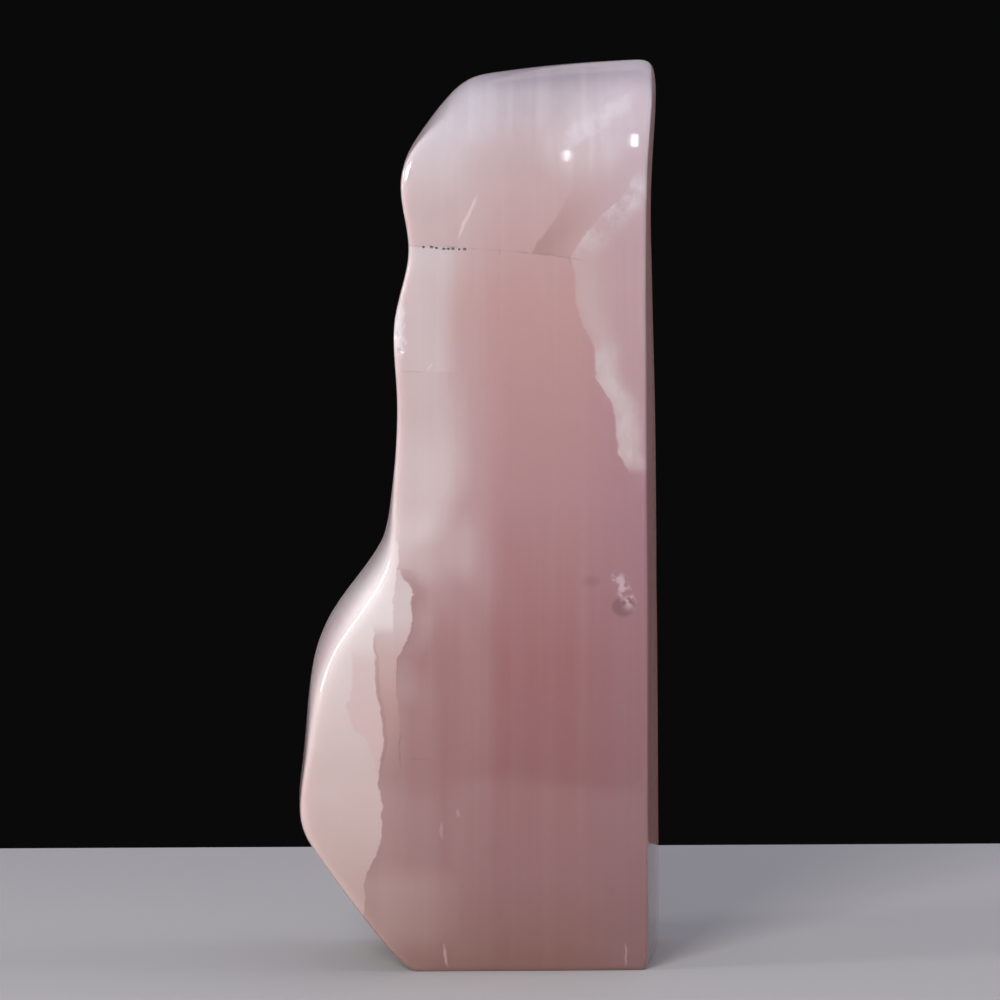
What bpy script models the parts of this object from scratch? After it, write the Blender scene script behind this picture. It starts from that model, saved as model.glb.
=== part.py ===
"""A polished freeform tower of pink manganoan calcite, one solid stone.

The stone is drawn as level slices of its outline, from the flat saw-cut foot to the crown.
A coarse cage is raised through the slices, and a Subdivision Surface polishes it smooth.
Metres, +Z up, origin in the middle of the outline on the plane that the foot stands on.
"""
from collections import namedtuple

import bmesh
import bpy

MM = 0.001

# Driving sizes of the stone, in millimetres. The front face is turned a little to the right.
FRONT_FACE_LEFT = -26.0
FRONT_FACE_RIGHT = -23.5
BACK_FACE = 24.6
FOOT_CHAMFER = 0.7
CROWN_ARCH = 7.0
CREST_SWELL = 1.0

# How far the cage's support points stand from each upright corner: the rounding grows with it
FRONT_RIGHT_REACH = 1.8
FRONT_RIGHT_REACH_GAIN = 0.25
BACK_RIGHT_REACH = 5.0
BACK_LEFT_REACH = 9.0

# How far back the bevel of the front left edge reaches, for each millimetre of its width
BEVEL_DEPTH = 0.5

# The cage has this many faces along each side of a slice
SIDE_FACES = 4
MIDDLE = SIDE_FACES // 2
SMOOTHING_LEVELS = 2

# How far the middle of each face bows out, to the side and in depth, by its place in the cage
BOWS = {
    (0, MIDDLE): (-0.8, 0.0),
    (SIDE_FACES, MIDDLE): (0.6, 0.0),
    (MIDDLE, 0): (0.0, -0.3),
    (MIDDLE, SIDE_FACES): (0.0, 2.0),
}

# One slice: its height, where its front left and front right corners stand, how far its right
# side flares out behind that corner, and the cage's reach at its front left corner. Its bevel is
# how much of that corner is ground away, and its tuck is how far the left side stands in at the
# back. The back may lean in too. A slice of the head also leans in at its front, rises to the
# right by its tilt, and is arched from front to back.
Slice = namedtuple("Slice", "height left right flare reach bevel tuck back_in front_in tilt arch",
                   defaults=(0.0, 0.0, 0.0, 0.0, 0.0, 0.0))

SLICES = (
    # saw-cut foot, and the ground edge just above it
    Slice(0.0, -15.0, 36.6, 4.0, 3.0, back_in=FOOT_CHAMFER, front_in=FOOT_CHAMFER),
    Slice(1.2, -17.0, 37.2, 3.7, 3.0),
    # slanting cut under the belly
    Slice(10.0, -24.8, 37.4, 3.5, 3.0),
    Slice(25.0, -35.4, 37.3, 3.5, 3.0),
    # belly
    Slice(33.0, -41.0, 37.3, 3.4, 3.0),
    Slice(46.0, -38.6, 37.3, 3.3, 3.0),
    Slice(60.0, -37.9, 37.2, 3.3, 3.0, bevel=1.5, back_in=0.3),
    # shoulder, and the slope up to the neck
    Slice(72.0, -36.0, 37.2, 3.2, 3.0, bevel=3.6, back_in=0.6),
    Slice(81.5, -29.3, 37.1, 3.1, 3.0, bevel=5.0, back_in=0.8),
    Slice(92.0, -20.8, 37.1, 3.0, 2.6, bevel=2.2, back_in=1.0),
    # neck, with the slow wave of its left edge
    Slice(104.0, -19.6, 37.0, 3.0, 2.4, tuck=1.2, back_in=1.3),
    Slice(127.0, -17.5, 36.9, 2.8, 2.6, tuck=2.2, back_in=1.6),
    Slice(144.0, -20.4, 36.7, 2.4, 2.6, tuck=2.2, back_in=1.8),
    Slice(158.5, -14.5, 36.7, 2.0, 2.6, tuck=2.0, back_in=1.6),
    # head, leaning back to its crown
    Slice(169.0, -17.3, 36.7, 1.8, 2.6, tuck=2.0, back_in=1.5),
    Slice(178.0, -18.0, 37.1, 1.8, 2.6, tuck=2.0, back_in=2.0, front_in=0.4, tilt=2.0),
    Slice(185.5, -13.0, 37.8, 1.8, 3.0, tuck=1.6, back_in=4.5, front_in=3.0, tilt=3.5),
    Slice(190.4, -4.1, 38.4, 1.2, 4.0, tuck=0.8, back_in=11.0, front_in=9.0, tilt=4.1,
          arch=CROWN_ARCH),
)


def blend(start, end, share):
    """The value at a share of the way from start to end."""
    return start + (end - start) * share


def hump(share):
    """A round rise from 0 at either end to 1 in the middle."""
    return 1.0 - (2.0 * share - 1.0) ** 2


def stations(start, end, start_reach, end_reach):
    """Where the cage points stand along one side of a slice."""
    return (start, start + start_reach, blend(start, end, 0.5), end - end_reach, end)


def slice_point(cut, column, row):
    """One cage point of a slice, by its column from the left and its row from the front."""
    front_left = FRONT_FACE_LEFT + cut.front_in
    front_right = FRONT_FACE_RIGHT + cut.front_in
    back = BACK_FACE - cut.back_in
    back_right = cut.right + cut.flare
    right_reach = FRONT_RIGHT_REACH + FRONT_RIGHT_REACH_GAIN * cut.front_in
    depths_left = stations(front_left, back, cut.reach + BEVEL_DEPTH * cut.bevel, BACK_LEFT_REACH)
    depths_right = stations(front_right, back, right_reach, BACK_RIGHT_REACH)
    sides_front = stations(cut.left, cut.right, cut.reach, right_reach)
    sides_back = stations(cut.left + cut.tuck, back_right, BACK_LEFT_REACH, BACK_RIGHT_REACH)

    depth_share = (depths_left[row] - front_left) / (back - front_left)
    side = blend(sides_front[column], sides_back[column], depth_share)
    if row == 0 and column < MIDDLE:
        side += cut.bevel
    width_share = (side - cut.left) / (back_right - cut.left)
    depth = blend(depths_left[row], depths_right[row], width_share)
    height = cut.height + cut.tilt * width_share
    if cut.arch:
        height += cut.arch * hump(depth_share) + CREST_SWELL * hump(width_share)
    return side, depth, height


def shape_top(verts, column_layer, row_layer, cut):
    """Move the cage's top faces on to one slice."""
    for vert in verts:
        column = vert[column_layer]
        row = vert[row_layer]
        side, depth, height = slice_point(cut, column, row)
        bow_side, bow_depth = BOWS.get((column, row), (0.0, 0.0))
        vert.co = ((side + bow_side) * MM, (depth + bow_depth) * MM, height * MM)


def make_cage():
    """Raise a flat grid through all the slices into one closed cage."""
    cage = bmesh.new()
    column_layer = cage.verts.layers.int.new("column")
    row_layer = cage.verts.layers.int.new("row")
    grid = bmesh.ops.create_grid(cage, x_segments=SIDE_FACES, y_segments=SIDE_FACES, size=MIDDLE)
    for vert in grid["verts"]:
        vert[column_layer] = round(vert.co.x) + MIDDLE
        vert[row_layer] = round(vert.co.y) + MIDDLE
    shape_top(cage.verts, column_layer, row_layer, SLICES[0])

    crease = cage.edges.layers.float.new("crease_edge")
    for edge in cage.edges:
        if edge.is_boundary:
            edge[crease] = 1.0

    foot_faces = list(cage.faces)
    top_faces = foot_faces
    for cut in SLICES[1:]:
        raised = bmesh.ops.extrude_face_region(cage, geom=top_faces)["geom"]
        if top_faces is not foot_faces:
            bmesh.ops.delete(cage, geom=top_faces, context="FACES")
        top_faces = [item for item in raised if isinstance(item, bmesh.types.BMFace)]
        top_verts = [item for item in raised if isinstance(item, bmesh.types.BMVert)]
        for item in raised:
            if isinstance(item, bmesh.types.BMEdge):
                item[crease] = 0.0
        shape_top(top_verts, column_layer, row_layer, cut)
    bmesh.ops.recalc_face_normals(cage, faces=cage.faces)
    return cage


def make_calcite():
    """The stone's material: pale pink, translucent, with a soft gloss."""
    calcite = bpy.data.materials.new("manganoan_calcite")
    calcite.use_nodes = True
    shader = calcite.node_tree.nodes["Principled BSDF"]
    shader.inputs["Base Color"].default_value = (0.56, 0.37, 0.36, 1.0)
    shader.inputs["Roughness"].default_value = 0.12
    shader.inputs["Metallic"].default_value = 0.0
    shader.inputs["IOR"].default_value = 1.6
    shader.inputs["Subsurface Weight"].default_value = 0.3
    return calcite


def make_tower(collection):
    """The whole stone, as one object."""
    cage = make_cage()
    mesh = bpy.data.meshes.new("calcite_tower")
    cage.to_mesh(mesh)
    cage.free()
    mesh.shade_smooth()
    mesh.materials.append(make_calcite())
    tower = bpy.data.objects.new("calcite_tower", mesh)
    collection.objects.link(tower)
    polish = tower.modifiers.new("polish", "SUBSURF")
    polish.levels = SMOOTHING_LEVELS
    polish.render_levels = SMOOTHING_LEVELS
    return tower


for leftover in list(bpy.data.objects):
    bpy.data.objects.remove(leftover, do_unlink=True)
stone = bpy.data.collections.new("manganoan_calcite_specimen")
bpy.context.scene.collection.children.link(stone)
make_tower(stone)
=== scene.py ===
import math
from collections import namedtuple

import bmesh
import bpy
from mathutils import Matrix, Vector
from mathutils.interpolate import poly_3d_calc


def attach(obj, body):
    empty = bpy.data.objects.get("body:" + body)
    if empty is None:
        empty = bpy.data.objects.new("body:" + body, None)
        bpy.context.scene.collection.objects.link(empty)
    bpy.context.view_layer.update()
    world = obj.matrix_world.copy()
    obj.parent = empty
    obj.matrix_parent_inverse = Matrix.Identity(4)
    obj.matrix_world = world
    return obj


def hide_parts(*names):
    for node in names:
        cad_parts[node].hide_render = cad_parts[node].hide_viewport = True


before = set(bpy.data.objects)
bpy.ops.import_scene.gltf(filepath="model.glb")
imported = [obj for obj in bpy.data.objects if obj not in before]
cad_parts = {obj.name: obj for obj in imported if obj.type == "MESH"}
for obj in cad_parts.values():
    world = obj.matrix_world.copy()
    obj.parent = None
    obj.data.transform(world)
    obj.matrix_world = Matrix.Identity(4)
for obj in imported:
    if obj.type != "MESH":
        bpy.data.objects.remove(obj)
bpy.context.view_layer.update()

# The tower
# One block of manganoan calcite, sawn flat under its foot, then ground and polished by hand
# on every other side. It is drawn as slices from foot to crown, in millimetres, as its solid
# is, and smoothed to the finer surface that a polish leaves.
MM = 0.001
FRONT_FACE_LEFT = -26.0
FRONT_FACE_RIGHT = -23.5
BACK_FACE = 24.6
FOOT_CHAMFER = 0.7
CROWN_ARCH = 7.0
CREST_SWELL = 1.0
FRONT_RIGHT_REACH = 1.8
FRONT_RIGHT_REACH_GAIN = 0.25
BACK_RIGHT_REACH = 5.0
BACK_LEFT_REACH = 9.0
BEVEL_DEPTH = 0.5
SIDE_FACES = 4
MIDDLE = SIDE_FACES // 2
POLISH_LEVELS = 4
FLATNESS = 0.1
BOWS = {
    (0, MIDDLE): (-0.8, 0.0),
    (SIDE_FACES, MIDDLE): (0.6, 0.0),
    (MIDDLE, 0): (0.0, -0.3),
    (MIDDLE, SIDE_FACES): (0.0, 2.0),
}
Slice = namedtuple("Slice", "height left right flare reach bevel tuck back_in front_in tilt arch",
                   defaults=(0.0, 0.0, 0.0, 0.0, 0.0, 0.0))
SLICES = (
    Slice(0.0, -15.0, 36.6, 4.0, 3.0, back_in=FOOT_CHAMFER, front_in=FOOT_CHAMFER),
    Slice(1.2, -17.0, 37.2, 3.7, 3.0),
    Slice(10.0, -24.8, 37.4, 3.5, 3.0),
    Slice(25.0, -35.4, 37.3, 3.5, 3.0),
    Slice(33.0, -41.0, 37.3, 3.4, 3.0),
    Slice(46.0, -38.6, 37.3, 3.3, 3.0),
    Slice(60.0, -37.9, 37.2, 3.3, 3.0, bevel=1.5, back_in=0.3),
    Slice(72.0, -36.0, 37.2, 3.2, 3.0, bevel=3.6, back_in=0.6),
    Slice(81.5, -29.3, 37.1, 3.1, 3.0, bevel=5.0, back_in=0.8),
    Slice(92.0, -20.8, 37.1, 3.0, 2.6, bevel=2.2, back_in=1.0),
    Slice(104.0, -19.6, 37.0, 3.0, 2.4, tuck=1.2, back_in=1.3),
    Slice(127.0, -17.5, 36.9, 2.8, 2.6, tuck=2.2, back_in=1.6),
    Slice(144.0, -20.4, 36.7, 2.4, 2.6, tuck=2.2, back_in=1.8),
    Slice(158.5, -14.5, 36.7, 2.0, 2.6, tuck=2.0, back_in=1.6),
    Slice(169.0, -17.3, 36.7, 1.8, 2.6, tuck=2.0, back_in=1.5),
    Slice(178.0, -18.0, 37.1, 1.8, 2.6, tuck=2.0, back_in=2.0, front_in=0.4, tilt=2.0),
    Slice(185.5, -13.0, 37.8, 1.8, 3.0, tuck=1.6, back_in=4.5, front_in=3.0, tilt=3.5),
    Slice(190.4, -4.1, 38.4, 1.2, 4.0, tuck=0.8, back_in=11.0, front_in=9.0, tilt=4.1,
          arch=CROWN_ARCH),
)


def blend(start, end, share):
    """The value at a share of the way from start to end."""
    return start + (end - start) * share


def hump(share):
    """A round rise from 0 at either end to 1 in the middle."""
    return 1.0 - (2.0 * share - 1.0) ** 2


def stations(start, end, start_reach, end_reach):
    """Where the cage points stand along one side of a slice."""
    return (start, start + start_reach, blend(start, end, 0.5), end - end_reach, end)


def slice_point(cut, column, row):
    """One cage point of a slice, by its column from the left and its row from the front."""
    front_left = FRONT_FACE_LEFT + cut.front_in
    front_right = FRONT_FACE_RIGHT + cut.front_in
    back = BACK_FACE - cut.back_in
    back_right = cut.right + cut.flare
    right_reach = FRONT_RIGHT_REACH + FRONT_RIGHT_REACH_GAIN * cut.front_in
    depths_left = stations(front_left, back, cut.reach + BEVEL_DEPTH * cut.bevel, BACK_LEFT_REACH)
    depths_right = stations(front_right, back, right_reach, BACK_RIGHT_REACH)
    sides_front = stations(cut.left, cut.right, cut.reach, right_reach)
    sides_back = stations(cut.left + cut.tuck, back_right, BACK_LEFT_REACH, BACK_RIGHT_REACH)

    depth_share = (depths_left[row] - front_left) / (back - front_left)
    side = blend(sides_front[column], sides_back[column], depth_share)
    if row == 0 and column < MIDDLE:
        side += cut.bevel
    width_share = (side - cut.left) / (back_right - cut.left)
    depth = blend(depths_left[row], depths_right[row], width_share)
    height = cut.height + cut.tilt * width_share
    if cut.arch:
        height += cut.arch * hump(depth_share) + CREST_SWELL * hump(width_share)
    bow_side, bow_depth = BOWS.get((column, row), (0.0, 0.0))
    return Vector((side + bow_side, depth + bow_depth, height)) * MM


def settle_slice(mesh, cut):
    """Move the selected points of the cage on to one slice."""
    cage = bmesh.from_edit_mesh(mesh)
    column_layer = cage.verts.layers.int["column"]
    row_layer = cage.verts.layers.int["row"]
    for vert in cage.verts:
        if vert.select:
            vert.co = slice_point(cut, vert[column_layer], vert[row_layer])
    bmesh.update_edit_mesh(mesh)


bpy.ops.object.select_all(action="DESELECT")
bpy.ops.mesh.primitive_grid_add(x_subdivisions=SIDE_FACES, y_subdivisions=SIDE_FACES,
                                size=SIDE_FACES)
stone = bpy.context.object
stone.name = "polished_tower"
bpy.ops.object.mode_set(mode="EDIT")
cage = bmesh.from_edit_mesh(stone.data)
column_layer = cage.verts.layers.int.new("column")
row_layer = cage.verts.layers.int.new("row")
for vert in cage.verts:
    vert[column_layer] = round(vert.co.x) + MIDDLE
    vert[row_layer] = round(vert.co.y) + MIDDLE
bmesh.update_edit_mesh(stone.data)
settle_slice(stone.data, SLICES[0])
bpy.ops.mesh.select_all(action="SELECT")
for cut in SLICES[1:]:
    bpy.ops.mesh.extrude_region_move(TRANSFORM_OT_translate={"value": (0.0, 0.0, MM)})
    settle_slice(stone.data, cut)
bpy.ops.mesh.select_all(action="SELECT")
bpy.ops.mesh.normals_make_consistent(inside=False)
bpy.ops.mesh.select_all(action="DESELECT")
cage = bmesh.from_edit_mesh(stone.data)
for face in cage.faces:
    face.select_set(all(vert.co.z < FLATNESS * MM for vert in face.verts))
bpy.ops.mesh.region_to_loop()
bpy.ops.transform.edge_crease(value=1.0)
bpy.ops.object.mode_set(mode="OBJECT")

polish = stone.modifiers.new("polish", "SUBSURF")
polish.levels = POLISH_LEVELS
polish.render_levels = POLISH_LEVELS
bpy.ops.object.modifier_apply(modifier="polish")

# Waves of the hand polish
# A wheel never leaves a dead flat face on a soft stone: the polish rises and falls by up to a
# sixth of a millimetre, always inwards from the drawn form.
WAVE_LENGTH = 26.0
WAVE_DEPTH = 0.16
waves = bpy.data.textures.new("polish_waves", "CLOUDS")
waves.noise_scale = WAVE_LENGTH * MM
waves.noise_depth = 1
ripple = stone.modifiers.new("ripple", "DISPLACE")
ripple.texture = waves
ripple.texture_coords = "LOCAL"
ripple.direction = "NORMAL"
ripple.mid_level = 1.0
ripple.strength = WAVE_DEPTH * MM
bpy.ops.object.modifier_apply(modifier="ripple")

# Pits and chips
# A few grains have dropped out along the crack in the neck, and left dark pits. The front left
# edge above the shoulder is chipped in shallow scallops that the polish has run over. Each pit
# and chip is given by its place across and up, and its radius.
CRACK_PITS = (
    (-12.4, 161.0, 0.24), (-10.6, 161.0, 0.3), (-9.5, 160.8, 0.24), (-7.9, 160.6, 0.28),
    (-6.9, 160.6, 0.24), (-5.9, 160.6, 0.28), (-4.5, 160.5, 0.2), (-3.3, 160.5, 0.28),
)
PIT_DEPTH = 0.4
PIT_STRETCH = 1.3
PIT_HALF_DEPTH = 0.5
EDGE_CHIPS = ((-18.6, 145.2, 2.0), (-18.4, 141.4, 1.7), (-17.6, 138.1, 1.5))
CHIP_DEPTH = 0.35
CHIP_STRETCH = 1.2
FRONT_WARDS = Vector((0.0, -1.0, 0.0))
CHIP_WARDS = Vector((-0.55, -0.84, 0.0))
STAND_OFF = 100.0
SHARP_EDGE = math.radians(25.0)


def hollow(side, level, towards, size, sink):
    """Add an ellipsoid cutter that sinks into the stone, where a ray meets it from outside."""
    middle = Vector((side, FRONT_FACE_LEFT, level))
    _, spot, facing, _ = stone.ray_cast((middle + towards * STAND_OFF) * MM, -towards)
    centre = spot + facing * (size[1] - sink) * MM
    bpy.ops.mesh.primitive_uv_sphere_add(segments=16, ring_count=10, radius=1.0, location=centre)
    cutter = bpy.context.object
    cutter.rotation_euler = facing.to_track_quat("Y", "Z").to_euler()
    cutter.scale = Vector(size) * MM
    bpy.ops.object.transform_apply(location=True, rotation=True, scale=True)
    return cutter


cutters = []
for side, level, radius in CRACK_PITS:
    size = (PIT_STRETCH * radius, PIT_HALF_DEPTH, radius)
    cutters.append(hollow(side, level, FRONT_WARDS, size, PIT_DEPTH))
for side, level, radius in EDGE_CHIPS:
    size = (CHIP_STRETCH * radius, CHIP_STRETCH * radius, radius)
    cutters.append(hollow(side, level, CHIP_WARDS, size, CHIP_DEPTH))
bpy.ops.object.select_all(action="DESELECT")
for cutter in cutters:
    cutter.select_set(True)
bpy.context.view_layer.objects.active = cutters[0]
bpy.ops.object.join()
pitting = stone.modifiers.new("pitting", "BOOLEAN")
pitting.operation = "DIFFERENCE"
pitting.object = cutters[0]
bpy.context.view_layer.objects.active = stone
bpy.ops.object.modifier_apply(modifier="pitting")
bpy.data.objects.remove(cutters[0], do_unlink=True)
bpy.ops.object.select_all(action="DESELECT")
stone.select_set(True)
bpy.ops.object.shade_smooth_by_angle(angle=SHARP_EDGE)

# Calcite
# The stone's own substance: pale pink manganese calcite, clouded with white, which thickens
# to rose towards the foot. Sheets of white vein cross it from front to back, a hairline crack
# runs round the neck, and fine fibres stand upright all through it. Painted shade is laid into
# its colour as well, and one painted highlight.
calcite = bpy.data.materials.new("manganoan_calcite")
calcite.use_nodes = True
tree = calcite.node_tree
shader = tree.nodes["Principled BSDF"]


def put(kind, sockets, **settings):
    """Add a node with its settings, and set or link its input sockets."""
    made = tree.nodes.new(kind)
    for name, value in settings.items():
        setattr(made, name, value)
    for name, value in sockets.items():
        if isinstance(value, bpy.types.NodeSocket):
            tree.links.new(value, made.inputs[name])
        else:
            made.inputs[name].default_value = value
    return made


def calc(operation, *values):
    """One step of arithmetic on numbers or sockets."""
    return put("ShaderNodeMath", dict(enumerate(values)), operation=operation).outputs[0]


def rise(value, start, end, low=0.0, high=1.0):
    """A smooth step of a socket from low at start to high at end."""
    step = put("ShaderNodeMapRange", {0: value, 1: start, 2: end, 3: low, 4: high},
               interpolation_type="SMOOTHSTEP")
    return step.outputs[0]


def between(value, low, high, soft):
    """1 between two values, fading to 0 over a soft border inside them."""
    return calc("MULTIPLY", rise(value, low, low + soft), rise(value, high, high - soft))


def both(*masks):
    """Where all the masks lie over one another."""
    result = masks[0]
    for mask in masks[1:]:
        result = calc("MULTIPLY", result, mask)
    return result


def pigment(red, green, blue):
    """A colour named as a screen shows it, from 0 to 255, as the value that a shader takes."""
    linear = []
    for level in (red, green, blue):
        share = level / 255.0
        linear.append(share / 12.92 if share <= 0.04045 else ((share + 0.055) / 1.055) ** 2.4)
    return (*linear, 1.0)


def layer(under, over, mask, strength=1.0):
    """Lay one colour over another by a mask, as strongly as given."""
    amount = calc("MULTIPLY", mask, strength)
    mixer = put("ShaderNodeMix", {0: amount, 6: under, 7: over}, data_type="RGBA")
    return mixer.outputs[2]


# Places are read in millimetres. The sheets run back through the stone at a slant, and wander
# more the deeper they go, so no side repeats the front. Small marks stay near the front face.
FRONT_FACE_DEPTH = 25.0
SHEET_SLANT = 0.12
WANDER = 22.0
WANDER_LENGTH = 45.0
WANDER_LIFT = 0.6
WANDER_STARTS = 3.0
WANDER_FULL = 45.0
MARKS_FADE = 4.0
MARKS_END = 9.0
place = put("ShaderNodeTexCoord", {}).outputs["Object"]
place = put("ShaderNodeVectorMath", {0: place, "Scale": 1.0 / MM}, operation="SCALE").outputs[0]
axes = put("ShaderNodeSeparateXYZ", {0: place}).outputs
depth = calc("ADD", axes["Y"], FRONT_FACE_DEPTH)


def cloud(stretch, detail=2.0, roughness=0.5):
    """Noise from 0 to 1, whose lumps are about as long as stretch in millimetres."""
    scale = tuple(1.0 / length for length in stretch)
    spot = put("ShaderNodeVectorMath", {0: place, 1: scale}, operation="MULTIPLY").outputs[0]
    sockets = {"Vector": spot, "Scale": 1.0, "Detail": detail, "Roughness": roughness}
    return put("ShaderNodeTexNoise", sockets).outputs["Fac"]


def sway(noise, reach):
    """Noise from 0 to 1 as a move of up to reach either way."""
    return calc("MULTIPLY", calc("SUBTRACT", noise, 0.5), 2.0 * reach)


wander = cloud((WANDER_LENGTH, WANDER_LENGTH, WANDER_LENGTH), detail=1.0)
drift = calc("MULTIPLY", sway(wander, WANDER), rise(depth, WANDER_STARTS, WANDER_FULL))
across = calc("ADD", calc("MULTIPLY_ADD", depth, SHEET_SLANT, axes["X"]), drift)
height = calc("ADD", axes["Z"], calc("MULTIPLY", drift, WANDER_LIFT))
near_front = rise(depth, MARKS_END, MARKS_FADE)

# Ramps and curves take shares from 0 to 1, which stand for this much of height and of width
RAMP_HEIGHT = 205.0
CURVE_WIDTH = 100.0


def tone(stops):
    """A colour that changes with height, through a few stops given in millimetres."""
    ramp = put("ShaderNodeValToRGB", {0: calc("DIVIDE", height, RAMP_HEIGHT)})
    points = ramp.color_ramp.elements
    for _ in stops[2:]:
        points.new(0.5)
    for point, (level, colour) in zip(points, stops):
        point.position = level / RAMP_HEIGHT
        point.color = pigment(*colour)
    return ramp.outputs[0]


def border(points, smooth=False):
    """Where an upright border of a marking stands: a place across, for each height."""
    curve = put("ShaderNodeFloatCurve", {"Value": calc("DIVIDE", height, RAMP_HEIGHT)})
    handle = "AUTO" if smooth else "VECTOR"
    line = curve.mapping.curves[0]
    curve.mapping.extend = "HORIZONTAL"
    for _ in points[2:]:
        line.points.new(0.5, 0.5)
    for point, (level, side) in zip(line.points, sorted(points)):
        point.location = (level / RAMP_HEIGHT, side / CURVE_WIDTH + 0.5)
        point.handle_type = handle
    curve.mapping.update()
    return calc("MULTIPLY", calc("SUBTRACT", curve.outputs[0], 0.5), CURVE_WIDTH)


# The rose of the stone, the white of its clouds and sheets, and the lilac of its right side
# All three darken towards the foot, partly deeper stone and partly painted shade of falling light
rose = tone((
    (3, (136, 97, 90)), (20, (149, 108, 108)), (70, (163, 117, 118)), (105, (182, 142, 144)),
    (150, (194, 157, 155)), (174, (199, 172, 172)), (194, (182, 169, 172)),
))
white = tone((
    (5, (176, 149, 141)), (38, (203, 181, 177)), (84, (230, 221, 219)), (105, (211, 193, 192)),
    (150, (209, 195, 195)), (174, (206, 192, 193)), (194, (193, 184, 188)),
))
lilac = tone((
    (10, (138, 103, 104)), (100, (172, 133, 141)), (150, (189, 155, 162)), (185, (203, 186, 193)),
))
BRIGHT_VEIL = pigment(220, 211, 215)
TAN = pigment(200, 166, 158)

# Fine fibres stand upright all through the stone, and show most towards the head
coarse_fibres = cloud((4.0, 7.0, 220.0))
fine_fibres = cloud((0.8, 1.4, 60.0))
fibre_part = rise(height, 120.0, 185.0, 0.6, 1.4)
fine_part = rise(height, 95.0, 130.0, 0.04, 0.11)
fine_sway = calc("MULTIPLY", sway(fine_fibres, 1.0), fine_part)
fibres = calc("MULTIPLY", calc("ADD", sway(coarse_fibres, 0.15), fine_sway), fibre_part)

# Pale cloud down the left side of the neck, which thins out below into a haze with a soft flame
NECK_TOP = ((205, 10.0), (190, 3.0), (176, -3.0), (160, -5.0), (149, -6.8), (120, -4.4))
CLOUD_FOOT = ((109, -4.4), (103, -6.3), (97, -9.8), (92.8, -12.5), (88, -9.0), (83, -4.0),
              (70, 2.0), (40, 0.0))
HAZE_FOOT = ((108, -4.4), (95, -4.5), (83, -2.0), (70, 2.0), (40, 0.0))
neck_edge = calc("ADD", across, sway(cloud((7.0, 7.0, 22.0)), 1.4))
cloud_side = calc("SUBTRACT", neck_edge, border(NECK_TOP + CLOUD_FOOT, smooth=True))
haze_side = calc("SUBTRACT", neck_edge, border(NECK_TOP + HAZE_FOOT, smooth=True))
neck_cloud = both(rise(cloud_side, 4.0, -4.5), rise(height, 85.0, 108.0, 0.08, 0.72))
neck_haze = both(rise(haze_side, 12.0, 1.0), rise(height, 72.0, 100.0, 0.03, 0.24))
flame = both(rise(across, 1.5, -4.0), between(height, 84.0, 105.0, 8.0))

# At the left edge a flap of slightly pink stone lies under the crack. Below its straight lower
# rim the stone is pinker still, and pales again further down.
neck_flap = both(rise(across, -9.0, -10.2), rise(height, 133.2, 134.0),
                 rise(height, 158.0, 154.0))
under_flap = both(rise(across, -3.5, -8.0), rise(height, 133.8, 133.2),
                  rise(height, 112.0, 126.0))

# White shoulder and belly. Their borders are scalloped, as calcite parts along its own faces.
scallops = calc("ADD", across, sway(cloud((2.2, 2.2, 2.2), detail=3.0), 0.65))
shoulder_border = border(((205, -60.0), (98, -60.0), (96.5, -18.1), (92.8, -17.8), (89.7, -18.2),
                          (85.6, -18.6), (82.5, -19.2), (72, -19.0), (0, -19.0)))
lobe_border = border(((205, -60.0), (91.2, -60.0), (90, -17.5), (87.4, -16.7), (86.1, -15.5),
                      (84.1, -14.5), (82.4, -15.2), (80.3, -14.8), (76.7, -15.1), (73.6, -16.0),
                      (71.6, -17.3), (69.5, -18.6), (63.3, -18.3), (55, -17.7), (0, -17.7)))
white_border = border(((205, -23.5), (75.2, -23.5), (72.6, -23.8), (70.5, -23.1), (62.3, -23.0),
                       (59.7, -22.2), (57.6, -21.9), (52, -21.1), (47, -22.0), (42.6, -22.4),
                       (36.2, -21.6), (29.2, -21.9), (24, -24.0), (20.4, -25.5), (0, -25.6)))
wedge_border = border(((205, -28.4), (70.5, -28.4), (66.4, -28.2), (60.8, -28.6), (59.7, -29.9),
                       (56.6, -28.6), (53.7, -27.8), (52.4, -25.3), (47.3, -23.7), (44.7, -23.0),
                       (42.6, -22.4), (0, -22.4)))
shoulder_side = calc("SUBTRACT", scallops, shoulder_border)
lobe_side = calc("SUBTRACT", scallops, lobe_border)
white_side = calc("SUBTRACT", scallops, white_border)
wedge_side = calc("SUBTRACT", scallops, wedge_border)
shoulder_part = both(rise(shoulder_side, 0.25, -0.25), rise(height, 70.0, 78.0))
belly_part = both(rise(white_side, 0.25, -0.25), rise(height, 78.0, 70.0), rise(height, 5.0, 13.0))
wedge_part = both(rise(wedge_side, -0.3, 0.4), rise(height, 74.0, 68.0), belly_part)
lobe_part = both(rise(lobe_side, 0.25, -0.3), rise(height, 43.0, 56.0))
# Painted shade: a dark band just right of the lobe, and a thin one just outside the white border
lobe_shadow = both(rise(lobe_side, 0.0, 0.5), rise(lobe_side, 4.5, 0.5),
                   between(height, 56.0, 96.0, 9.0), rise(across, -19.5, -17.5))
rim_off = calc("ABSOLUTE", calc("SUBTRACT", white_side, 0.5))
white_rim_painted_shade = both(rise(rim_off, 0.5, 0.1), between(height, 42.0, 76.0, 6.0))
edge_white = both(rise(across, -18.4, -19.4), between(height, 93.0, 112.0, 6.0))
left_white = calc("MULTIPLY", calc("ADD", shoulder_part, belly_part), 0.97)
lobe_white = both(lobe_part, rise(height, 47.0, 79.0, 0.12, 0.72))
lobe_glow = both(rise(lobe_side, 0.0, 0.5), rise(lobe_side, 6.5, 1.0),
                 between(height, 58.0, 84.0, 6.0))
tan_part = both(lobe_part, rise(white_side, -0.2, 0.4), rise(height, 79.0, 70.0),
                rise(height, 40.0, 70.0, 0.35, 1.0))
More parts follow.
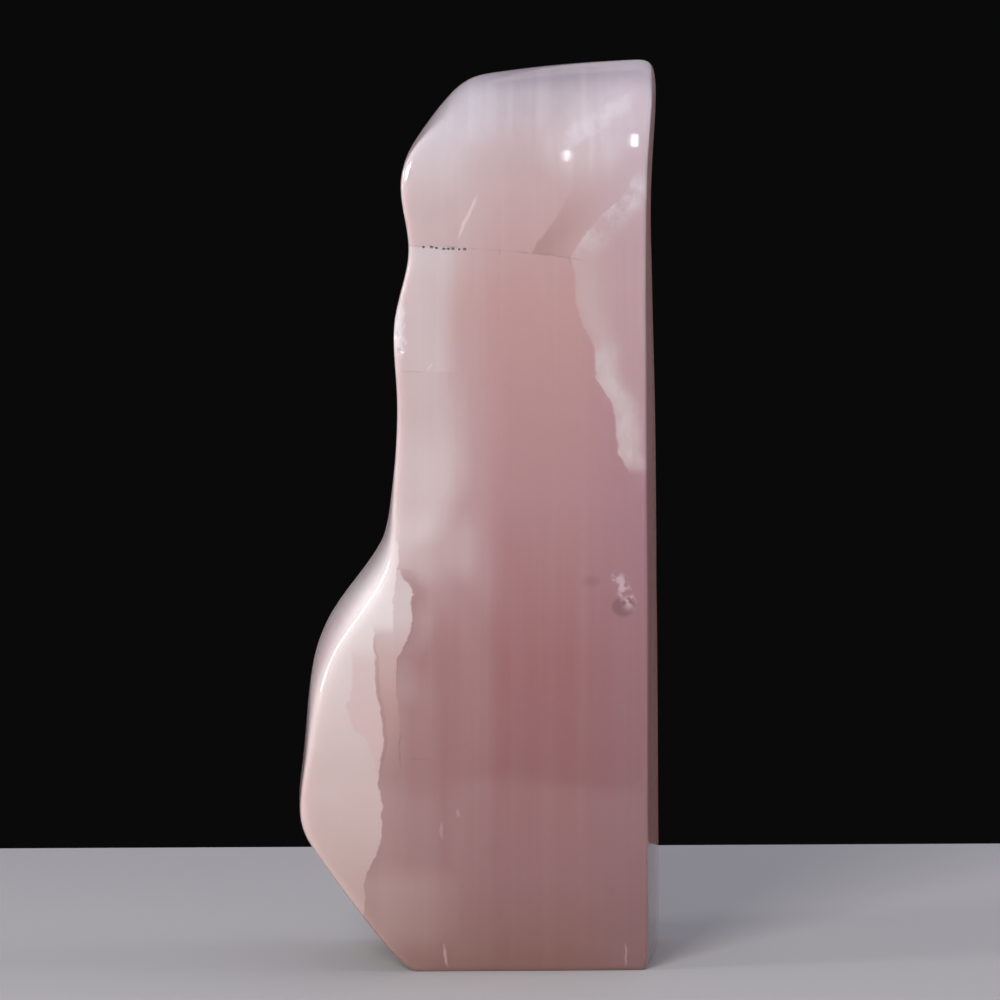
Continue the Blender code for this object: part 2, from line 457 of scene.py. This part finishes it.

# Painted shade: the ground edge of the slope is darker and pinker, left of a line that follows it
SLOPE_RUN = 0.49
SLOPE_FOOT = -66.4
slope_line = calc("MULTIPLY_ADD", height, SLOPE_RUN, SLOPE_FOOT)
slope_off = calc("SUBTRACT", across, slope_line)
slope_painted_shade = both(rise(slope_off, 0.5, -3.0), between(height, 60.0, 101.0, 6.0))

# Haze that the white belly sends into the rose, and a paler patch by the foot
foot_haze = both(rise(across, 3.0, -23.0, 0.0, 0.29), rise(height, 80.0, 60.0))
foot_glow = both(rise(across, 2.0, -16.0, 0.0, 0.25), between(height, 2.0, 26.0, 8.0))

# White sheet down the right side, scalloped to the left and fading to the right, with a
# mottled tongue at its foot
sheet_border = border(((205, 60.0), (178, 35.5), (176.3, 33.8), (171.4, 31.1), (167.9, 26.9),
                       (163, 22.7), (158.3, 20.0), (155.2, 21.0), (148.3, 21.2), (142.6, 23.2),
                       (139.2, 25.3), (132, 25.6), (129.7, 27.2), (126.2, 29.4), (115, 30.8),
                       (110.6, 33.4), (0, 40.0)))
sheet_side = calc("SUBTRACT", scallops, sheet_border)
in_sheet = both(rise(sheet_side, -0.3, 0.35), rise(height, 110.0, 112.5))
sheet_fade = both(in_sheet, rise(sheet_side, 9.0, 0.5), rise(height, 176.0, 150.0, 0.5, 1.0))
sheet_mottle = rise(cloud((3.0, 3.0, 6.0), detail=4.0, roughness=0.6), 0.3, 0.65, 0.45, 1.1)
sheet_tongue = both(in_sheet, rise(sheet_side, 6.5, 3.0), between(height, 110.0, 141.0, 5.0),
                    sheet_mottle)
sheet_haze = both(rise(sheet_side, 0.0, 3.0), between(height, 104.0, 166.0, 16.0))
wing_shape = rise(cloud((4.5, 4.5, 6.0), detail=4.0, roughness=0.6), 0.3, 0.62)
wing_rise = both(rise(height, 155.0, 171.0), rise(height, 178.0, 173.0))
sheet_wing = both(in_sheet, rise(sheet_side, 9.0, 2.0), wing_rise, wing_shape)
right_lilac = calc("MULTIPLY", rise(across, 19.0, 34.0), 0.7)

# Clouds near the crown on the right, with a torn lower rim that climbs to the right
RIM_CLIMB = 0.52
RIM_HEIGHT = 172.8
rim_border = calc("MULTIPLY_ADD", across, RIM_CLIMB, RIM_HEIGHT)
torn_height = calc("ADD", height, sway(cloud((3.0, 3.0, 3.0), detail=3.0), 1.6))
above_rim = calc("SUBTRACT", torn_height, rim_border)
crown_part = rise(across, 12.0, 27.0)
crown_streaks = rise(cloud((3.2, 5.0, 40.0), detail=2.0), 0.36, 0.62, 0.45, 1.0)
crown_fade = rise(height, 197.0, 186.0, 0.1, 1.0)
crown_clouds = both(rise(above_rim, -0.6, 2.0), crown_part, crown_streaks, crown_fade)
crown_veil = both(between(above_rim, -1.2, 4.5, 1.3), between(across, 17.5, 35.0, 3.0), wing_shape)
streak_shape = rise(cloud((3.2, 90.0, 90.0), detail=1.0), 0.46, 0.72)
top_streaks = both(streak_shape, rise(height, 181.0, 190.0))
# Painted shade: the stone is darkened along its crest, where the crown turns away from the light
crest_painted_shade = rise(height, 193.0, 200.5)

# The crack falls to the right in a slow bow, and a darker patch lies above it
CRACK_HEIGHT = 160.6
CRACK_FALL = -0.07
CRACK_BOW = -0.0018
crack_fall = calc("MULTIPLY", across, CRACK_FALL)
crack_bow = calc("MULTIPLY_ADD", calc("MULTIPLY", across, across), CRACK_BOW, crack_fall)
crack_line = calc("ADD", crack_bow, sway(cloud((5.0, 5.0, 5.0), detail=3.0), 0.7))
above_crack = calc("SUBTRACT", calc("SUBTRACT", height, crack_line), CRACK_HEIGHT)
patch_border = border(((205, 30.0), (175, 21.5), (172.5, 19.9), (166.1, 16.1), (161.9, 12.6),
                       (158, 10.5), (0, 10.5)))
patch_side = calc("SUBTRACT", scallops, patch_border)
patch_fade = both(rise(height, 177.0, 160.0), rise(patch_side, 11.0, 1.0))
dark_patch = both(rise(patch_side, -0.3, 0.4), rise(above_crack, -0.2, 0.2),
                  rise(sheet_side, 0.4, -1.0), patch_fade)

# The pale cloud of the neck hardly passes the crack, so the head is pinker just above it
head_blush = both(rise(across, -2.5, -7.0), rise(above_crack, -0.15, 0.15),
                  rise(height, 180.0, 169.0))

# Share of white in the rose at each place: what the neck's markings add and take away, then
# those of the foot, the lobe, the sheet and the left edge
NECK_PARTS = ((flame, 0.2), (neck_flap, -0.14), (under_flap, -0.22), (head_blush, -0.5))
SIDE_PARTS = (
    (lobe_glow, 0.15),
    (sheet_fade, 0.34),
    (sheet_tongue, 0.44),
    (sheet_haze, 0.2),
    (edge_white, 0.5),
)
share = calc("ADD", neck_cloud, neck_haze)
for mask, strength in NECK_PARTS:
    share = calc("MULTIPLY_ADD", mask, strength, share)
share = calc("MAXIMUM", share, calc("ADD", foot_haze, foot_glow))
share = calc("MAXIMUM", share, lobe_white)
for mask, strength in SIDE_PARTS:
    share = calc("MULTIPLY_ADD", mask, strength, share)
share = calc("ADD", share, fibres)
share = calc("MAXIMUM", share, left_white)
share = put("ShaderNodeClamp", {0: share}).outputs[0]
colour = layer(rose, lilac, right_lilac)
colour = layer(colour, white, share)

# Tints over the rose and the white, each with its mask and its strength
TINTS = (
    (BRIGHT_VEIL, crown_clouds, 0.5),
    (BRIGHT_VEIL, crown_veil, 0.4),
    (BRIGHT_VEIL, sheet_wing, 0.85),
    (BRIGHT_VEIL, top_streaks, 0.24),
    # painted shade along the crest
    (pigment(122, 108, 118), crest_painted_shade, 0.5),
    (TAN, tan_part, 0.45),
    # painted shade on the ground edge of the slope
    (pigment(176, 140, 148), slope_painted_shade, 0.45),
    (pigment(206, 172, 170), wedge_part, 0.42),
    # painted shade beside the lobe and just outside the white border
    (pigment(150, 110, 106), calc("ADD", lobe_shadow, white_rim_painted_shade), 0.2),
    (pigment(160, 122, 118), dark_patch, 0.42),
)
for tint, mask, strength in TINTS:
    colour = layer(colour, tint, mask, strength)

# Hairline crack round the neck
crack_off = calc("ABSOLUTE", above_crack)
crack_wear = rise(cloud((3.5, 3.5, 30.0), detail=3.0), 0.38, 0.62, 0.15, 1.0)
crack = both(rise(crack_off, 0.3, 0.05), crack_wear, rise(across, 24.0, 20.0))
colour = layer(colour, pigment(140, 108, 104), crack, 0.35)


def seam(start, end, reach, soft=0.15):
    """A straight streak between two places on the front, given across and up."""
    run = (end[0] - start[0], end[1] - start[1])
    length = math.hypot(*run)
    aside = calc("SUBTRACT", scallops, start[0])
    above = calc("SUBTRACT", height, start[1])
    along = calc("MULTIPLY_ADD", aside, run[0] / length, calc("MULTIPLY", above, run[1] / length))
    off = calc("MULTIPLY_ADD", aside, run[1] / length, calc("MULTIPLY", above, -run[0] / length))
    ends = between(along, 0.0, length, min(0.35 * length, 3.0))
    return both(rise(calc("ABSOLUTE", off), reach + soft, reach - soft), ends, near_front)


def blot(centre, size, soft=0.4):
    """A round patch on the front, 1 inside and fading to 0 at its rim."""
    aside = calc("DIVIDE", calc("SUBTRACT", across, centre[0]), size[0])
    above = calc("DIVIDE", calc("SUBTRACT", height, centre[1]), size[1])
    away = calc("SQRT", calc("MULTIPLY_ADD", aside, aside, calc("MULTIPLY", above, above)))
    return both(rise(away, 1.0, 1.0 - soft), near_front)


# White thread above the crack, haze at the crown, and a yellower upper corner on the right
thread = seam((-5.4, 162.0), (-0.1, 173.2), 0.28, 0.25)
crown_haze = both(blot((23.0, 182.0), (12.0, 9.5), 0.9), crown_streaks)
corner = blot((37.6, 195.5), (2.6, 7.0), 0.8)
colour = layer(colour, pigment(226, 210, 206), thread, 0.7)
colour = layer(colour, BRIGHT_VEIL, crown_haze, 0.62)
colour = layer(colour, pigment(208, 190, 172), corner, 0.45)

# Dark brown painted into each pit along the crack, over a spot a little wider than the pit
PIT_BROWN = pigment(104, 78, 72)
PIT_SPOT_SPREAD = 1.4
for side, level, radius in CRACK_PITS:
    reach = PIT_SPOT_SPREAD * radius
    colour = layer(colour, PIT_BROWN, blot((side, level), (PIT_STRETCH * reach, reach), 0.6), 0.85)

# Brown grain and white wisps under the sheet, and white laid along the chipped edge
grain = blot((31.8, 81.2), (3.0, 2.6), 0.35)
faint_grain = blot((24.8, 86.8), (2.8, 2.0), 0.9)
wisp_shape = rise(cloud((1.6, 1.6, 1.6), detail=3.0), 0.42, 0.6)
wisps = both(seam((29.6, 89.6), (34.4, 79.8), 1.3, 0.8), wisp_shape)
chip_edge = calc("ADD", across, sway(cloud((1.8, 1.8, 2.6), detail=3.0), 1.8))
chip_white = both(rise(chip_edge, -16.2, -17.0), between(height, 135.5, 149.5, 4.0),
                  rise(depth, 5.0, 1.0))
colour = layer(colour, pigment(140, 106, 108), grain, 0.8)
colour = layer(colour, pigment(146, 112, 112), faint_grain, 0.5)
colour = layer(colour, pigment(208, 184, 190), wisps, 0.8)
colour = layer(colour, pigment(222, 214, 216), chip_white, 0.75)

# Fine marks of cleavage and grain on the front, and one painted highlight at the foot: each
# runs between two places, with its half width, its shade and its strength
PALE_MARK_AND_HIGHLIGHT = pigment(222, 204, 200)
DARK_MARK = pigment(116, 82, 80)
MARKS = (
    ((-17.7, 54.6), (-17.7, 44.0), 0.2, DARK_MARK, 0.2),
    ((-16.0, 47.6), (-10.3, 47.4), 0.15, DARK_MARK, 0.16),
    ((-8.5, 33.8), (-8.4, 29.4), 0.35, PALE_MARK_AND_HIGHLIGHT, 0.16),
    ((-4.8, 36.6), (-4.7, 34.2), 0.35, PALE_MARK_AND_HIGHLIGHT, 0.14),
    ((-8.0, 6.8), (-7.2, 0.5), 0.25, PALE_MARK_AND_HIGHLIGHT, 0.3),
    # painted highlight: a thin pale upright line low on the right of the foot, where light glints
    ((32.5, 6.8), (32.5, 0.5), 0.2, PALE_MARK_AND_HIGHLIGHT, 0.3),
    ((-18.4, 133.6), (-11.2, 133.4), 0.14, DARK_MARK, 0.2),
    ((-11.8, 133.5), (-10.0, 135.6), 0.3, PALE_MARK_AND_HIGHLIGHT, 0.6),
    ((4.4, 160.9), (4.4, 158.9), 0.12, DARK_MARK, 0.25),
    ((19.8, 159.3), (19.8, 156.9), 0.12, DARK_MARK, 0.25),
)
for start, end, reach, shade, strength in MARKS:
    colour = layer(colour, shade, seam(start, end, reach), strength)

# A glassy polish, over a body that scatters light for some millimetres
tree.links.new(colour, shader.inputs["Base Color"])
shader.inputs["Roughness"].default_value = 0.055
shader.inputs["IOR"].default_value = 1.6
shader.inputs["Subsurface Weight"].default_value = 1.0
shader.inputs["Subsurface Radius"].default_value = (1.0, 0.9, 0.87)
shader.inputs["Subsurface Scale"].default_value = 3.5 * MM
stone.data.materials.append(calcite)

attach(stone, "root")
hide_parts("calcite_tower")

# Camera
# A long lens looks at the stone from straight in front, and a little from above. It frames the
# width that the photograph shows in the plane of the stone.
CAMERA_AIM = Vector((0.0045, 0.0, 0.1024))
CAMERA_DISTANCE = 2.2
CAMERA_ELEVATION = math.radians(6.0)
PHOTO_WIDTH_AT_AIM = 0.223
FILM_WIDTH = 36.0
CAMERA_OFFSET = Vector((0.0, -math.cos(CAMERA_ELEVATION), math.sin(CAMERA_ELEVATION)))
bpy.ops.object.camera_add()
camera = bpy.context.object
camera.location = CAMERA_AIM + CAMERA_DISTANCE * CAMERA_OFFSET
camera.rotation_euler = (math.radians(90.0) - CAMERA_ELEVATION, 0.0, 0.0)
camera.data.sensor_width = FILM_WIDTH
camera.data.lens = FILM_WIDTH * CAMERA_DISTANCE / PHOTO_WIDTH_AT_AIM
camera.data.clip_end = 20.0
bpy.context.scene.camera = camera

# Floor
# A plain pale table top, level under the sawn foot and turned a little. Its far edge shows
# behind the stone.
TABLE_SIZE = (2.4, 0.5, 0.024)
TABLE_PLACE = (0.0, -0.076, -0.012)
TABLE_TURN = math.radians(2.0)
TABLE_GREY = (0.42, 0.41, 0.40, 1.0)
TABLE_ROUGHNESS = 0.6
bpy.ops.object.select_all(action="DESELECT")
bpy.ops.mesh.primitive_cube_add(size=1.0, location=TABLE_PLACE, rotation=(0.0, 0.0, TABLE_TURN))
table = bpy.context.object
table.name = "table_top"
bpy.ops.transform.resize(value=TABLE_SIZE, orient_type="LOCAL")
bpy.ops.object.transform_apply(location=True, rotation=True, scale=True)
pale_floor = bpy.data.materials.new("pale_floor")
pale_floor.use_nodes = True
floor_shader = pale_floor.node_tree.nodes["Principled BSDF"]
floor_shader.inputs["Base Color"].default_value = TABLE_GREY
floor_shader.inputs["Roughness"].default_value = TABLE_ROUGHNESS
table.data.materials.append(pale_floor)

# Lights
# Soft boxes stand in front, at both sides and behind, each aimed at a part of the stone. Two
# faint cards behind it show only as mirror images in its polished edges.
HEAD = (0.0, 0.0, 0.18)
NECK = (0.0, 0.0, 0.14)
LOW_NECK = (0.0, 0.0, 0.12)
HALF_WAY = (0.0, 0.0, 0.1)
WHITE_LIGHT = (1.0, 1.0, 1.0)
LILAC_LIGHT = (1.0, 0.78, 0.84)
ROSE_LIGHT = (1.0, 0.52, 0.48)


def softbox(name, stand, aim, size, power, colour=WHITE_LIGHT):
    """A rectangular studio light at its stand, turned to face its aim."""
    bpy.ops.object.light_add(type="AREA", location=stand)
    lamp = bpy.context.object
    lamp.name = name
    lamp.data.shape = "RECTANGLE"
    lamp.data.size, lamp.data.size_y = size
    lamp.data.energy = power
    lamp.data.color = colour
    lamp.rotation_euler = (Vector(aim) - Vector(stand)).to_track_quat("-Z", "Y").to_euler()
    return lamp


softbox("front_key", (-0.35, -1.0, 0.55), NECK, (0.35, 0.35), 11.4)
softbox("left_window", (-0.68, -0.22, 0.31), LOW_NECK, (0.14, 0.3), 1.75)
softbox("right_fill", (0.8, 0.1, 0.5), HALF_WAY, (0.6, 0.6), 2.4)
softbox("back_fill", (0.5, 1.1, 0.8), HALF_WAY, (1.2, 1.0), 1.6)
left_card = softbox("rear_left_card", (-0.3, 1.2, 0.4), HALF_WAY, (0.6, 1.0), 0.3, LILAC_LIGHT)
right_card = softbox("rear_right_card", (0.24, 1.2, 0.05), HALF_WAY, (0.68, 0.5), 0.11,
                     ROSE_LIGHT)
left_card.visible_camera = False
right_card.visible_camera = False

# Small lamps whose mirror images are the sparks on the head. A spark is given by where it stands
# on the front, across and up, by its own width and height there, and by how bright it is.
SPARKS = ((34.3, 184.6, 1.3, 2.6, 14.0), (19.3, 181.3, 0.4, 2.2, 34.0))
SPARK_DISTANCE = 0.15


def mirrored(spark_across, spark_height):
    """Where the eye sees a lamp at the spark distance, mirrored in one spot of the front."""
    sight = Vector((spark_across, FRONT_FACE_LEFT, spark_height)) * MM - camera.location
    _, spot, _, face_number = stone.ray_cast(camera.location, sight.normalized())
    corners = [stone.data.vertices[number] for number in stone.data.polygons[face_number].vertices]
    weights = poly_3d_calc([corner.co for corner in corners], spot)
    facing = sum((weight * corner.normal for weight, corner in zip(weights, corners)), Vector())
    return spot + sight.normalized().reflect(facing.normalized()) * SPARK_DISTANCE


for number, (spark_across, spark_height, wide, tall, glow) in enumerate(SPARKS):
    left = mirrored(spark_across - wide / 2, spark_height)
    right = mirrored(spark_across + wide / 2, spark_height)
    low = mirrored(spark_across, spark_height - tall / 2)
    high = mirrored(spark_across, spark_height + tall / 2)
    upright = (high - low).normalized()
    breadth = (right - left).cross(upright).length
    length = (high - low).length
    power = glow * math.pi * breadth * length
    middle = mirrored(spark_across, spark_height)
    lamp = softbox("spark_%d" % number, middle, HEAD, (breadth, length), power)
    outward = (lamp.location - Vector(HEAD)).normalized()
    sideways = upright.cross(outward).normalized()
    upright = outward.cross(sideways)
    lamp.rotation_euler = Matrix((sideways, upright, outward)).transposed().to_euler()
    lamp.visible_camera = False

# Room
# The room is dark level with the stone and brightens upwards to a soft bluish ceiling, which
# the crown mirrors.
DARK_ROOM = (0.003, 0.003, 0.0033, 1.0)
BLUISH_CEILING = (0.42, 0.42, 0.56, 1.0)
CEILING_STARTS = 0.1
world = bpy.data.worlds.new("studio")
bpy.context.scene.world = world
world.use_nodes = True
room = world.node_tree
direction = room.nodes.new("ShaderNodeTexCoord")
split = room.nodes.new("ShaderNodeSeparateXYZ")
ceiling = room.nodes.new("ShaderNodeMapRange")
ceiling.interpolation_type = "SMOOTHSTEP"
ceiling.inputs["From Min"].default_value = CEILING_STARTS
ceiling.inputs["From Max"].default_value = 1.0
dome = room.nodes.new("ShaderNodeMix")
dome.data_type = "RGBA"
dome.inputs[6].default_value = DARK_ROOM
dome.inputs[7].default_value = BLUISH_CEILING
room.links.new(direction.outputs["Generated"], split.inputs[0])
room.links.new(split.outputs["Z"], ceiling.inputs["Value"])
room.links.new(ceiling.outputs[0], dome.inputs[0])
room.links.new(dome.outputs[2], room.nodes["Background"].inputs["Color"])
bpy.context.scene.view_settings.view_transform = "Standard"
